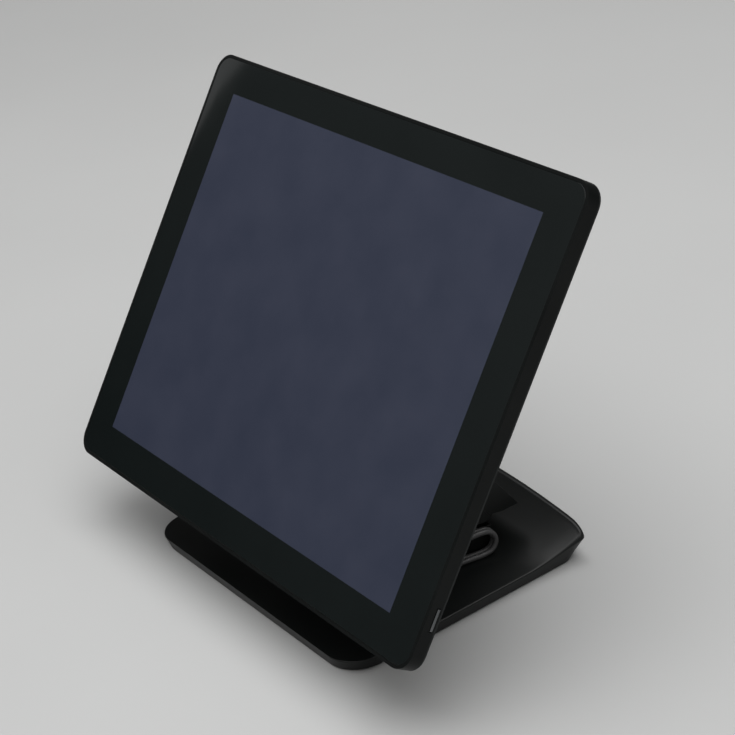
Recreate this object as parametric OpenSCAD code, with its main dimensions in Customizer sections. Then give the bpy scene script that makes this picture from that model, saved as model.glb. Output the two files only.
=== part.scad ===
// Countertop touchscreen terminal: a flat head with a 15 inch screen on a short
// folding neck, standing on a low plate whose rear edge sweeps up into a ridge.
// Millimetres. X runs to the right as one faces the screen, Y to the back, Z up.

/* [Head] */
// Width of the head
head_w = 360; // [350:1:370]
// Height of the head, measured along its face
head_h = 275.5; // [268:0.5:284]
// Outer corner radius of the head
head_r = 12; // [8:1:16]
// Lean of the screen back from upright, in degrees
head_tilt = 35; // [30:1:40]
// Width of the lit screen area
screen_w = 304.1; // [300:0.1:306]
// Height of the lit screen area
screen_h = 228.1; // [225:0.1:230]
// Depth of the front frame behind the glass face
frame_d = 8.5; // [8:0.1:9.5]
// Depth of the flat edge of the head
edge_d = 12; // [11.5:0.1:13]
// Depth of the electronics housing on the back
bulge_d = 35; // [33:0.5:35.5]

/* [Neck] */
// Distance between the two hinge axes
neck_len = 72.5; // [68:0.5:76]
// Forward lean of the neck, in degrees
neck_lean = 30.3; // [28:0.1:32]
// Width of the neck
neck_w = 150; // [148:1:152]
// Radius of the neck's upper end
neck_top_r = 12; // [11:0.5:12.5]
// Radius of the neck's lower end
neck_foot_r = 10.5; // [10:0.5:11]
// Radius of both hinge rods
rod_r = 4; // [3.5:0.1:4.5]

/* [Base] */
// Width of the base plate at its top edge
base_w = 220; // [214:1:226]
// Height of the base plate's top above the counter
plate_h = 8.6; // [8.4:0.1:9.4]
// Height of the rear ridge above the counter
ridge_h = 27.7; // [27:0.1:28.5]
// Radius of the front corners in plan
front_r = 21; // [16:1:24]
// Height by which the rubber feet lift the shell
foot_lift = 1; // [0.8:0.1:1.2]

/* [Lead] */
// Diameter of the lead
lead_d = 3.4; // [3.1:0.1:3.4]

/* [Hidden] */
$fn = 48;
fit_gap = 0.02;      // between pieces that are fixed together
run_gap = 0.05;      // between a rod and the ears that turn on it
wall = 2;            // moulded walls
skirt_t = 1.2;       // thin skirt of the rear cover

// Base: its front edge, the foot of the rear ramp and the foot of the back wall.
base_front = -87;
ramp_foot = 46;
back_foot = 84.6;
plate_lean = 0.25;   // the plate's edges lean in towards the counter
side_lean = 0.33;    // the ridge's ends flare out as they rise
back_lean = 0.395;
crest_r = 3.2;
crown = 6.3e-4;      // fall of the crest away from the middle
end_roll = 3.1;      // further fall at its ends
tail_r = 5;          // rear corners at the top
tail_foot_r = 11;    // and at the counter
lower_y = 42;        // lower hinge axis
lower_z = 41;
upper_y = lower_y - neck_len * sin(neck_lean);
upper_z = lower_z + neck_len * cos(neck_lean);
ears = [[36, 39], [57, 60]];
barrel = [40, 56];
notch = [34.5, 61.5];
ear_r = 9;
notch_r = 14;
neck_screw_x = [-22, 22];
neck_screw_z = 36;

// Upper hinge axis as seen from the middle of the head: up the face, out of it.
hinge_v = -32.7;
hinge_w = -48.3;
head_y = upper_y - hinge_v * sin(head_tilt) + hinge_w * cos(head_tilt);
head_z = upper_z - hinge_v * cos(head_tilt) - hinge_w * sin(head_tilt);
screen_v = 0.7;      // the screen sits a little above the middle of the head
cell_w = screen_w + 11.8;
cell_h = screen_h + 12.8;
tape_w = 350;
tape_h = 266;
key_v = -105;        // middle of the power key along the edge, and behind the glass
key_w = -6;
key_len = 13;
key_t = 1.8;
bulge_v = -4;
drive_uv = [74, 44];
board_uv = [for (u = [-105, 15], v = [5, 81]) [u, v]];
power_uv = [for (u = [69, 111], v = [-59, -19]) [u, v]];
flange_uv = [for (u = [-48, 48], v = [-56, -10]) [u, v]];

// Places in the base.
pan_w = 210;
pan_l = 164;
pan_r = 18;
foot_xy = [for (x = [-90, 90], y = [-66, 64]) [x, y]];
board_xy = [for (x = [-32, 32], y = [57, 78]) [x, y]];
bracket_y = [31.7, 47.7];
shell_screw_xy = [for (x = [-101, 101], y = [-45, 20]) [x, y]];
bolt_x = 75;
bolt_y = 37.5;
bolt_r = 2;
tower_w = 144;
tower_y0 = 27;
tower_y1 = 50;
tower_z = 25;
tower_taper = 3.6;    // by which each side narrows towards the front
usb_x = [-18, 0];
dc_x = 24;
dc_z = 10.9;
pan_z = foot_lift + 2;
screw_r = 1.5;
screw_hole = screw_r + fit_gap;
boss_r = 4.4;

// The lead: it leaves the hinge housing, lies on the plate and is tied in a hank
// of upright loops, two long and three short, turned a little on the plate.
lead_z = plate_h + lead_d / 2;
gland_x = 28;
gland_y = 10.7;
gland_z = 16.5;
hank_x = 76.5;
hank_y = 49;
hank_turn = 10;
hank_bend = 7.5;
long_turns = 2;
short_turns = 3;
hank_run = 82;       // long loops, end to end
hank_step = 28;      // by which the short loops end sooner
hank_end_r = hank_bend + lead_d / 2;
hank_z = lead_z + hank_bend;
long_x = long_turns * lead_d / 2;
short_x = long_x + short_turns * lead_d;
tie_y = -45;
tie_w = 4;
tie_t = 1.2;
lead_route = [[28, 10.7, 16.5], [28, 7.4, 16.3], [28.6, 4.2, 15.2], [31, 1.8, 13.5], [35, 0.9, 11.7],
              [39.5, 1.2, 10.5], [43.5, 1.5, 10.3], [47.9, 1.2, 10.3], [51.6, -0.5, 10.3]];
tail_route = [[71.5, -9, 10.3], [69.9, -17.9, 10.3], [68.2, -27.7, 10.3], [66.4, -31.5, 10.3],
              [63, -33.9, 10.3], [58.9, -34.2, 10.3], [52.9, -33.2, 10.3], [48, -32.3, 11],
              [44, -31.6, 12.1], [40.1, -30.9, 13]];
plug_at = [-22.7, -85, 13.2];

// ---------- helpers ----------

function arc(cx, cy, r, a0, a1, n) =
    [for (i = [0 : n]) let (a = a0 + (a1 - a0) * i / n) [cx + r * cos(a), cy + r * sin(a)]];

// Outline of a rectangle with round corners, centred.
function round_box(w, h, r, n = 8) = concat(
    arc(w / 2 - r, h / 2 - r, r, 0, 90, n), arc(r - w / 2, h / 2 - r, r, 90, 180, n),
    arc(r - w / 2, r - h / 2, r, 180, 270, n), arc(w / 2 - r, r - h / 2, r, 270, 360, n));

module slab(w, h, r, z0, z1)
    translate([0, 0, z0]) linear_extrude(z1 - z0) polygon(round_box(w, h, r));

module slab_at(u, v, w, h, r, z0, z1)
    translate([u, v, 0]) slab(w, h, r, z0, z1);

module block(lo, hi)
    translate(lo) cube(hi - lo);

module rod_x(x0, x1, r)
    translate([x0, 0, 0]) rotate([0, 90, 0]) cylinder(h = x1 - x0, r = r);

// Extrudes an outline given in Y and Z along X.
module along_x(x0, x1)
    translate([x0, 0, 0]) rotate([90, 0, 90]) linear_extrude(x1 - x0) children();

module on_head()
    translate([0, head_y, head_z]) rotate([90 - head_tilt, 0, 0]) children();

module on_neck()
    translate([0, lower_y, lower_z]) rotate([neck_lean, 0, 0]) children();

module on_lower_axis() translate([0, lower_y, lower_z]) children();
module on_upper_axis() translate([0, upper_y, upper_z]) children();
module both_sides() {
    children();
    mirror([1, 0, 0]) children();
}

// Screw with its head above zero and its shank below, with a six-sided socket.
module screw(head_r, head_h, shank) {
    difference() {
        cylinder(h = head_h, r = head_r);
        translate([0, 0, head_h / 2]) cylinder(h = head_h, r = 1.2, $fn = 6);
    }
    translate([0, 0, -shank]) cylinder(h = shank + 0.1, r = screw_r);
}

// A solid through a stack of outlines with equal point counts, lowest first.
module skin(rings) {
    n = len(rings[0]);
    m = len(rings);
    points = [for (ring = rings, p = ring) p];
    faces = concat(
        [[for (i = [0 : n - 1]) i]],
        [[for (i = [n - 1 : -1 : 0]) (m - 1) * n + i]],
        [for (k = [0 : m - 2], i = [0 : n - 1]) let (j = (i + 1) % n)
            [k * n + i, (k + 1) * n + i, (k + 1) * n + j, k * n + j]]);
    polyhedron(points, faces, convexity = 6);
}

// ---------- base outline ----------

// Height of the ridge's crest, highest in the middle and rolled off at the ends.
function crest_z(u) = let (x = abs(u) * 111)
    ridge_h - crown * x * x - end_roll * pow(max(0, x - 98) / 13, 2);
// The back of the crest leans out over the counter as it rises.
function crest_y(u) = back_foot + back_lean * (crest_z(u) - crest_r);

// Section of the base's upper side from front to back, as [y, z], at u across.
function top_path(u) = let (
    cy = crest_y(u) - crest_r,
    cz = crest_z(u) - crest_r,
    ry = cy + crest_r * cos(128),
    rz = cz + crest_r * sin(128))
    concat(
        [for (i = [0 : 6]) [base_front + front_r * (1 - cos(i * 15)), plate_h]],
        [for (y = [-40, 5, 35]) [y, plate_h]],
        [for (i = [0 : 9]) let (q = pow(i / 9, 0.8))
            [ramp_foot + (ry - ramp_foot) * q, plate_h + (rz - plate_h) * pow(q, 1.6)]],
        arc(cy, cz, crest_r, 116, 0, 6));

// How far a corner of radius r takes in the side at y, ahead of its end at y_end.
function corner_in(y, y_end, r) = let (d = min(r, max(0, r - abs(y_end - y)))) r - sqrt(r * r - d * d);
function width_at(y, z, y0, y1, w, r) = w + side_lean * max(0, z - plate_h)
    - corner_in(y, y0, front_r) - corner_in(y, y1, r);

// The outside of the base as one solid: an upper grid over a lower one.
module base_body() {
    across = [for (i = [-8 : 8]) sign(i) * pow(abs(i) / 8, 0.75)];
    edge = top_path(1);
    n = len(edge);
    m = len(across);
    under = plate_lean * (plate_h - foot_lift);
    y_end = crest_y(1);
    lower = [for (p = edge) base_front + under
        + (p[1] < plate_h ? 0 : (p[0] - base_front) * (back_foot - base_front - under) / (y_end - base_front))];
    upper_pts = [for (u = across) let (path = top_path(u)) for (j = [0 : n - 1])
        [u * width_at(edge[j][0], edge[j][1], base_front, y_end, base_w / 2, tail_r),
         path[j][0], path[j][1]]];
    lower_pts = [for (u = across) for (j = [0 : n - 1])
        [u * width_at(lower[j], 0, base_front + under, back_foot, base_w / 2 - under, tail_foot_r),
         lower[j], foot_lift]];
    g = n * m;
    faces = concat(
        [for (i = [0 : m - 2], j = [0 : n - 2]) each
            [[i * n + j, i * n + j + 1, (i + 1) * n + j + 1, (i + 1) * n + j],
             [g + i * n + j, g + (i + 1) * n + j, g + (i + 1) * n + j + 1, g + i * n + j + 1]]],
        [for (i = [0 : m - 2]) each
            [[i * n, (i + 1) * n, g + (i + 1) * n, g + i * n],
             [(i + 1) * n + n - 1, i * n + n - 1, g + i * n + n - 1, g + (i + 1) * n + n - 1]]],
        [for (j = [0 : n - 2]) each
            [[j + 1, j, g + j, g + j + 1],
             [(m - 1) * n + j, (m - 1) * n + j + 1, g + (m - 1) * n + j + 1, g + (m - 1) * n + j]]]);
    polyhedron(concat(upper_pts, lower_pts), faces, convexity = 8);
}

// The hollow inside: the plate's, and the ridge's between its end walls.
module base_hollow() {
    translate([0, -0.5, foot_lift - 0.5]) linear_extrude(plate_h - wall - foot_lift + 0.5)
        polygon(round_box(pan_w + 0.5, pan_l + 0.5, pan_r));
    along_x(-88, 88) polygon([[50, 5], [56, 7.6], [66, 10.3], [76, 14.2], [84, 17.4], [88, 17.2], [83.2, 5]]);
    along_x(-40, 40) polygon([[50, 5], [56, 8.1], [66, 11.6], [76, 16.3], [84, 20.8], [88.5, 20.8], [83.2, 5]]);
}

// ---------- base ----------

// Upper shell of the base: a thin plate with a swept ridge along its back.
module base_shell() color("#2b2e30") difference() {
    base_body();
    base_hollow();
    for (m = [0, 1]) mirror([m, 0, 0])
        block([33, tower_y0 + 2.5, plate_h - wall - 1], [63, tower_y1 - 0.5, plate_h + 1]);
    block([-38, 79, 5], [38, 105, 16]);
}

// Steel bottom pan; the counter bolts and the hinge brackets fasten to it.
module base_pan() color("silver") difference() {
    union() {
        translate([0, -0.5, foot_lift]) linear_extrude(2) polygon(round_box(pan_w, pan_l, pan_r));
        for (p = board_xy) translate([p[0], p[1], foot_lift]) cylinder(h = 4.58, r = 2.6);
        for (p = shell_screw_xy) translate([p[0], p[1], foot_lift]) cylinder(h = 5.4, r = 2.6);
    }
    for (p = foot_xy) translate([p[0], p[1], foot_lift - 1]) cylinder(h = 1.5, r = 9 + fit_gap);
    for (x = [-bolt_x, bolt_x], y = [-bolt_y, bolt_y])
        translate([x, y, 0]) cylinder(h = 6, r = bolt_r);
    for (p = shell_screw_xy) {
        translate([p[0], p[1], 0]) cylinder(h = 2.4, r = 3);
        translate([p[0], p[1], 0]) cylinder(h = 8, r = screw_hole);
    }
    for (x = [-48, 48], y = bracket_y) translate([x, y, 0]) cylinder(h = 6, r = screw_hole);
    for (p = board_xy) translate([p[0], p[1], 0]) cylinder(h = 9, r = 1);
}

// Steel weight that stops the terminal from tipping.
module ballast_plate() color("dimgray") difference() {
    translate([0, -28, pan_z + fit_gap]) linear_extrude(3.2) polygon(round_box(184, 100, 8));
    for (x = [-bolt_x, bolt_x]) translate([x, -bolt_y, 0]) cylinder(h = 9, r = 4);
}

// Four rubber feet set into the pan.
module rubber_feet() color("#151515")
    for (p = foot_xy) translate([p[0], p[1], 0]) cylinder(h = foot_lift + 0.48, r = 9);

// Screws that draw the shell onto the pan.
module base_screws() color("gray") for (p = shell_screw_xy)
    translate([p[0], p[1], foot_lift + 1.38]) mirror([0, 0, 1]) screw(2.8, 1.2, 3.9);

// Housing that covers the foot of the hinge, open underneath.
module hinge_housing() color("#1b1d1e") difference() {
    block([-tower_w / 2, tower_y0, plate_h], [tower_w / 2, tower_y1, tower_z]);
    block([6 - tower_w / 2, tower_y0 + 2, plate_h - 1], [tower_w / 2 - 6, tower_y1 - 2, tower_z - 2]);
    for (m = [0, 1]) mirror([m, 0, 0]) translate([0, 0, plate_h - 1]) linear_extrude(tower_z)
        polygon([[tower_w / 2 - tower_taper, tower_y0 - 0.1], [tower_w / 2 + 1, tower_y0 - 0.1],
                 [tower_w / 2 + 1, tower_y1 - 4], [tower_w / 2, tower_y1 - 4]]);
    along_x(-tower_w, tower_w) polygon([[ramp_foot - 0.1, plate_h - 1], [ramp_foot - 0.1, plate_h],
                                        [tower_y1 + 0.1, plate_h + 0.66], [tower_y1 + 0.1, plate_h - 1]]);
    for (m = [0, 1]) mirror([m, 0, 0])
        block([35, tower_y0 + 4, tower_z - 3], [61, tower_y1 - 0.5, tower_z + 1]);
    translate([gland_x, tower_y0 - 1, gland_z]) rotate([-90, 0, 0]) cylinder(h = 4, r = 2.6);
    for (y = [tower_y0, tower_y1]) translate([0, y, tower_z]) rotate([45, 0, 0])
        cube([tower_w + 1, 1.4, 1.4], center = true);
}

// One steel bracket: a flange on the pan and two ears that carry the lower rod.
module base_bracket() color("silver") difference() {
    union() {
        block([35, lower_y - 12.3, pan_z + fit_gap], [61, lower_y + 7.7, pan_z + 2.5]);
        for (e = ears) {
            block([e[0], lower_y - 7, pan_z + 1], [e[1], lower_y + 5.8, lower_z]);
            on_lower_axis() rod_x(e[0], e[1], ear_r);
        }
    }
    on_lower_axis() rod_x(30, 66, rod_r + run_gap);
    for (y = bracket_y) translate([48, y, 0]) cylinder(h = 12, r = screw_hole);
}
module right_base_bracket() base_bracket();
module left_base_bracket() mirror([1, 0, 0]) base_bracket();

// Screws that hold the base brackets down on the pan.
module bracket_screws() color("gray") for (x = [-48, 48], y = bracket_y)
    translate([x, y, pan_z + 2.52]) screw(2.6, 1, 4.3);

// Small board in the ridge that carries the rear sockets.
module hub_board() color("darkgreen") difference() {
    block([-36, 54.2, 5.6], [36, 82, 6.8]);
    for (p = board_xy) translate([p[0], p[1], 5]) cylinder(h = 3, r = 1.6);
}

// Two stacked metal sockets, each an open box with a tongue.
module usb_sockets() color("lightgray") for (x = usb_x) {
    difference() {
        block([x - 7, 71.6, 6.82], [x + 7, 83.5, 13.8]);
        block([x - 6.5, 72.6, 7.3], [x + 6.5, 84, 13.3]);
    }
    block([x - 5.5, 72.4, 11.7], [x + 5.5, 82, 13.35]);
}

// Round power inlet.
module dc_inlet() color("#1c1c1c") difference() {
    block([dc_x - 4.5, 73.6, 6.82], [dc_x + 4.5, 83.5, 14.9]);
    translate([dc_x, 75, dc_z]) rotate([-90, 0, 0]) cylinder(h = 12, r = 3.15);
}

// ---------- neck ----------

// Outline of the neck in Y and Z; t takes it in all round.
module neck_outline(t) polygon(concat(
    [for (p = arc(0, 0, neck_top_r - t, 0, 180, 14)) [p[0], p[1] + neck_len]],
    arc(0, 0, neck_foot_r - t, 180, 285, 9),
    [[8.4 - t * 0.3, t > 0 ? -9.5 : -15.3], [17.6 - t * 1.8, -20.6 + t * 4],
     [18.8 - t * 1.4, -20.9 + t * 4.2], [17.2 - t, 0]]));

module neck_shell() difference() {
    along_x(-neck_w / 2, neck_w / 2) neck_outline(0);
    along_x(wall - neck_w / 2, neck_w / 2 - wall) neck_outline(wall);
    for (m = [0, 1]) mirror([m, 0, 0]) for (z = [0, neck_len])
        translate([0, 0, z]) rod_x(notch[0], notch[1], notch_r);
    for (m = [0, 1]) mirror([m, 0, 0])
        block([notch[0], -notch_r, neck_len - 1], [notch[1], notch_r, neck_len + 14]);
}

// Front half of the neck's cover.
module neck_front_cover() color("#1b1d1e") on_neck() difference() {
    neck_shell();
    block([-90, -0.01, -40], [90, 40, 110]);
}

// Rear half, with a hood that drops behind the lower hinge.
module neck_rear_cover() color("#1b1d1e") on_neck() difference() {
    union() {
        neck_shell();
        for (x = neck_screw_x) translate([x, 1.52, neck_screw_z]) rotate([-90, 0, 0])
            cylinder(h = 12, r = boss_r);
    }
    block([-90, -40, -40], [90, 0.01, 110]);
    for (x = neck_screw_x) translate([x, 0, neck_screw_z]) rotate([-90, 0, 0]) {
        cylinder(h = 20, r = screw_hole);
        translate([0, 0, 12.2]) cylinder(h = 8, r = 3);
    }
}

// Welded steel frame of the neck: a plate with a barrel at each corner.
module neck_frame() color("silver") on_neck() difference() {
    union() {
        block([-60, -1.5, 17], [60, 1.5, neck_len - 17]);
        for (m = [0, 1]) mirror([m, 0, 0]) {
            block([barrel[0], -3, 0], [barrel[1], 3, neck_len]);
            for (z = [0, neck_len]) translate([0, 0, z]) rod_x(barrel[0], barrel[1], 8);
        }
    }
    for (z = [0, neck_len]) translate([0, 0, z]) rod_x(-70, 70, rod_r + fit_gap);
    for (x = neck_screw_x) translate([x, -3, neck_screw_z]) rotate([-90, 0, 0]) cylinder(h = 6, r = screw_hole);
}

// Two screws that hold the rear cover to the frame.
module neck_screws() color("gray") on_neck() for (x = neck_screw_x)
    translate([x, 12.22, neck_screw_z]) rotate([-90, 0, 0]) screw(2.8, 1.6, 13.6);

module hinge_rod() color("gray") rod_x(-69, 69, rod_r);
module lower_rod() on_lower_axis() hinge_rod();
module upper_rod() on_upper_axis() hinge_rod();

module rod_nuts() color("silver") both_sides() difference() {
    translate([61, 0, 0]) rotate([0, 90, 0]) cylinder(h = 6, r = 7.3, $fn = 6);
    rod_x(60, 70, rod_r + fit_gap);
}
module lower_nuts() on_lower_axis() rod_nuts();
module upper_nuts() on_upper_axis() rod_nuts();

// Friction discs between the ears and the barrels.
module friction_discs() color("darkgoldenrod") both_sides() for (x = [39.15, 56.1, 60.15])
    difference() {
        rod_x(x, x + 0.7, 7.8);
        rod_x(x - 1, x + 2, rod_r + fit_gap);
    }
module lower_washers() on_lower_axis() friction_discs();
module upper_washers() on_upper_axis() friction_discs();

// ---------- head ----------

// Flat black-bordered touch glass.
module touch_glass() color("#15191a") on_head()
    slab(head_w - 4.4, head_h - 4.4, head_r - 2.2, -2.2, 0);

// Double-sided tape ring that holds the glass.
module glass_tape() color("black") on_head() difference() {
    slab(tape_w, tape_h, 8, -2.98, -2.22);
    slab_at(0, screen_v, screen_w + 8, screen_h + 8, 2, -4, -1);
}

// The display's glass cell.
module lcd_cell() color("#39404d") on_head() slab_at(0, screen_v, cell_w, cell_h, 2, -5.2, -3.2);

// Clear plate that spreads the backlight.
module light_guide() color("white") on_head() slab_at(0, screen_v, cell_w, cell_h, 2, -8.2, -5.22);

// Pressed steel tray that holds the display.
module lcd_tray() color("silver") on_head() difference() {
    slab(326, 250, 3, -9.4, -3.2);
    slab_at(0, screen_v, cell_w + 0.1, cell_h + 0.1, 2, -8.22, -1);
}

// Frame around the front, with a ledge for the glass.
module front_frame() color("#2b2e30") on_head() difference() {
    slab(head_w, head_h, head_r, -frame_d, 0);
    slab(head_w - 4, head_h - 4, head_r - 2, -2.22, 1);
    slab(tape_w + 0.4, tape_h + 0.4, 8.2, -3, 1);
    slab(330, 254, 4, -20, 1);
    key_recess();
    at_cover_screws() translate([0, 0, -20]) cylinder(h = 15, r = screw_hole);
}
module at_cover_screws() for (u = [-171, 171], v = [-122, 122]) translate([u, v, 0]) children();

// The power key's slot in the right-hand edge.
module key_recess() block([head_w / 2 - 16, key_v - key_len / 2 - 0.4, key_w - key_t / 2 - 0.4],
                          [head_w / 2 + 1, key_v + key_len / 2 + 0.4, key_w + key_t / 2 + 0.4]);

// Pressed plate that carries the electronics and the hinge.
module chassis_plate() color("silver") on_head() difference() {
    union() {
        slab(330, 251, 4, -10.7, -9.42);
        for (v = [-128.5, 128.5]) slab_at(0, v, 200, 7, 1, -10.7, -8.52);
        for (p = concat(board_uv, power_uv)) translate([p[0], p[1], -13.98]) cylinder(h = 4, r = 2.8);
    }
    for (u = [-125, 125]) slab_at(u, 40, 30, 110, 5, -12, -8);
    for (p = flange_uv) translate([p[0], p[1], -14]) cylinder(h = 8, r = screw_hole);
}

// One steel bracket: a flange on the chassis and two ears that turn on the upper rod.
module head_bracket() color("silver") {
    on_head() difference() {
        block([35, -62, -12.9], [61, -4, -10.72]);
        for (p = flange_uv) translate([p[0], p[1], -14]) cylinder(h = 8, r = screw_hole);
    }
    difference() {
        union() for (e = ears) {
            on_head() block([e[0], hinge_v - 7, hinge_w], [e[1], hinge_v + 7, -12]);
            on_upper_axis() rod_x(e[0], e[1], ear_r);
        }
        on_upper_axis() rod_x(30, 66, rod_r + run_gap);
    }
}
module right_head_bracket() head_bracket();
module left_head_bracket() mirror([1, 0, 0]) head_bracket();

// Screws that hold the head brackets on the chassis.
module head_screws() color("gray") on_head() for (p = flange_uv)
    translate([p[0], p[1], -12.92]) mirror([0, 0, 1]) screw(2.8, 1.6, 3.4);

// Main circuit board with its chips and connectors.
module mainboard() color("darkgreen") on_head() {
    difference() {
        block([-110, 0, -15.6], [20, 86, -14]);
        for (p = board_uv) translate([p[0], p[1], -17]) cylinder(h = 5, r = 1.6);
    }
    block([-16, 26, -19], [14, 29.98, -15.6]);
    block([-62, 34, -17], [-30, 62, -15.6]);
    for (v = [6, 16, 26]) block([-108, v, -21], [-98, v + 8, -15.6]);
    for (u = [-90, -76, 0]) translate([u, 74, -25]) cylinder(h = 9.4, r = 4);
    block([-20, 10, -17.5], [-6, 24, -15.6]);
}

// Finned block on the processor.
module heatsink() color("lightgray") on_head() {
    block([-72, 26, -19.5], [-20, 68, -17.02]);
    for (i = [0 : 12]) block([-72 + i * 4.2, 26, -29], [-70.4 + i * 4.2, 68, -19.5]);
}

// Plug-in memory board.
module memory_module() color("green") on_head() {
    block([-16, 30, -18.4], [14, 66, -17.2]);
    for (v = [33, 50]) block([-12, v, -19.6], [10, v + 12, -18.4]);
}

// Flat storage drive.
module storage_drive() color("gray") on_head() slab_at(drive_uv[0], drive_uv[1], 70, 92, 2, -17.7, -10.72);

// Power board with its coil and capacitors.
module power_board() color("olive") on_head() {
    difference() {
        block([66, -62, -15.6], [114, -16, -14]);
        for (p = power_uv) translate([p[0], p[1], -17]) cylinder(h = 5, r = 1.6);
    }
    block([72, -42, -28], [90, -22, -15.6]);
    for (v = [-54, -42, -30]) translate([103, v, -27]) cylinder(h = 11.4, r = 4.5);
}

// Two flat loudspeakers that face down and forward.
module speakers() color("#202020") on_head() both_sides() difference() {
    slab_at(88, -82, 52, 20, 6, -32.9, -20);
    slab_at(88, -82, 44, 13, 5, -34, -31);
}

// Rear cover: a thin skirt around the edge and the electronics housing.
module cover_solid(t) {
    s = min(t, skirt_t);
    hull() {
        slab(head_w - 2 * s, head_h - 2 * s, head_r - s, -frame_d - 1.2, -frame_d - fit_gap + s);
        slab(head_w - 7 - 2 * s, head_h - 7 - 2 * s, head_r - 3 - s, s - edge_d, s - edge_d + 0.1);
    }
    hull() {
        slab_at(0, bulge_v, 256 - 2 * t, 206 - 2 * t, 16 - t, t - edge_d, t - edge_d + 0.5);
        slab_at(0, bulge_v, 236 - 2 * t, 188 - 2 * t, 14 - t, t - bulge_d, t - bulge_d + 0.5);
    }
}
module rear_cover() color("#232628") on_head() difference() {
    cover_solid(0);
    difference() {
        cover_solid(wall);
        at_cover_screws() translate([0, 0, -edge_d]) cylinder(h = edge_d - frame_d - fit_gap, r = boss_r);
    }
    both_sides() for (e = ears)
        block([e[0] - 0.6, hinge_v - 8.5, -bulge_d - 1], [e[1] + 0.6, hinge_v + 8.5, -bulge_d + 3]);
    for (i = [0 : 15]) block([-96 + i * 6.2, 50, -bulge_d - 1], [-93.6 + i * 6.2, 76, -bulge_d + 3]);
    block([39.5, -2, -bulge_d - 1], [112.5, 81, -bulge_d + 0.8]);
    block([44, 4, -bulge_d - 1], [108, 75, -bulge_d + 4]);
    both_sides() for (i = [0 : 6])
        block([72 + i * 5, -82, -bulge_d - 1], [74 + i * 5, -72, -bulge_d + 3]);
    at_cover_screws() {
        translate([0, 0, -20]) cylinder(h = 15, r = screw_hole);
        translate([0, 0, -20]) cylinder(h = 9.2, r = 3);
    }
}

// Door over the storage drive.
module service_door() color("#232628") on_head() difference() {
    block([39.8, -1.7, -bulge_d], [112.2, 80.7, -bulge_d + 0.78]);
    for (i = [0 : 4]) block([66, 62 + i * 2.6, -bulge_d - 1], [86, 63.2 + i * 2.6, -bulge_d + 0.4]);
}

// Screws at the corners of the rear cover.
module cover_screws() color("gray") on_head() at_cover_screws()
    translate([0, 0, -10.82]) mirror([0, 0, 1]) screw(2.8, 1.1, 5.5);

// Switch behind the power key.
module key_switch() color("darkgreen") on_head() {
    block([165.5, key_v - 5, key_w - 1.2], [167, key_v + 5, key_w + 1.2]);
    block([167, key_v - 3, key_w - 0.9], [170.5, key_v + 3, key_w + 0.9]);
}

// Slim silver power key; it slides into the edge of the head.
module power_key() color("silver") on_head() {
    block([head_w / 2 - 4, key_v - key_len / 2, key_w - key_t / 2],
          [head_w / 2 + 0.3, key_v + key_len / 2, key_w + key_t / 2]);
    block([171.4, key_v - 2, key_w - 0.6], [head_w / 2 - 4, key_v + 2, key_w + 0.6]);
}

// ---------- lead ----------

// Tapered strain relief on the front of the hinge housing.
module cord_gland() color("#161616") translate([gland_x, tower_y0, gland_z]) rotate([90, 0, 0])
    difference() {
        union() {
            cylinder(h = 3, r = 5.5);
            translate([0, 0, 3]) cylinder(h = tower_y0 - gland_y - 3, r1 = 4, r2 = 3);
        }
        translate([0, 0, 4]) cylinder(h = 30, r = lead_d / 2 + 0.05);
    }

// Tube swept along a route with eight sides.
function unit(v) = v / norm(v);
module lead_tube(route, r) {
    n = len(route);
    skin([for (i = [0 : n - 1]) let (
        d = unit(route[min(i + 1, n - 1)] - route[max(i - 1, 0)]),
        s = unit(cross(d, [0, 0, 1])),
        u = cross(s, d))
        [for (k = [0 : 7]) let (a = k * 45 + 22.5) route[i] + r * (cos(a) * s + sin(a) * u)]]);
}
module cord_lead() color("#2a2a2a") lead_tube(lead_route, lead_d / 2);
module cord_tail() color("#2a2a2a") lead_tube(tail_route, lead_d / 2);

module on_hank() translate([hank_x, hank_y, 0]) rotate([0, 0, -hank_turn]) children();

// Outline of one upright loop, taken in by t.
module loop_outline(y0, y1, t) polygon(concat(
    arc(y1 - hank_end_r, hank_z, hank_end_r - t, -90, 90, 16),
    arc(y0 + hank_end_r, hank_z, hank_end_r - t, 90, 270, 16)));

// The tied bundle of loops, waisted by the tie.
module cord_hank() color("#2a2a2a") on_hank() difference() {
    union() {
        along_x(-long_x, long_x) loop_outline(-hank_run, 0, 0);
        along_x(-short_x, 0) loop_outline(-hank_run, -hank_step, 0);
    }
    difference() {
        block([-short_x - 1, tie_y - tie_w / 2 - 0.2, 0], [long_x + 1, tie_y + tie_w / 2 + 0.2, 50]);
        block([tie_t - short_x, tie_y - tie_w, plate_h + tie_t + 0.2],
              [long_x - tie_t, tie_y + tie_w, plate_h + 2 * hank_end_r - tie_t - 0.2]);
    }
}

// Flat strap around the bundle's waist.
module cable_tie() color("#101010") on_hank() difference() {
    block([-short_x, tie_y - tie_w / 2, plate_h + 0.2],
          [long_x, tie_y + tie_w / 2, plate_h + 2 * hank_end_r]);
    block([tie_t - 0.02 - short_x, tie_y - tie_w, plate_h + tie_t + 0.18],
          [long_x - tie_t + 0.02, tie_y + tie_w, plate_h + 2 * hank_end_r - tie_t - 0.18]);
}

// Straight barrel plug at the lead's free end.
module cord_plug() color("#1a1a1a") on_hank() translate(plug_at) rotate([0, -90, 0]) {
    cylinder(h = 4, r1 = 3.2, r2 = 4.6);
    translate([0, 0, 4]) cylinder(h = 12, r = 4.6);
    translate([0, 0, 16]) cylinder(h = 8, r = 2.75);
}

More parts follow.
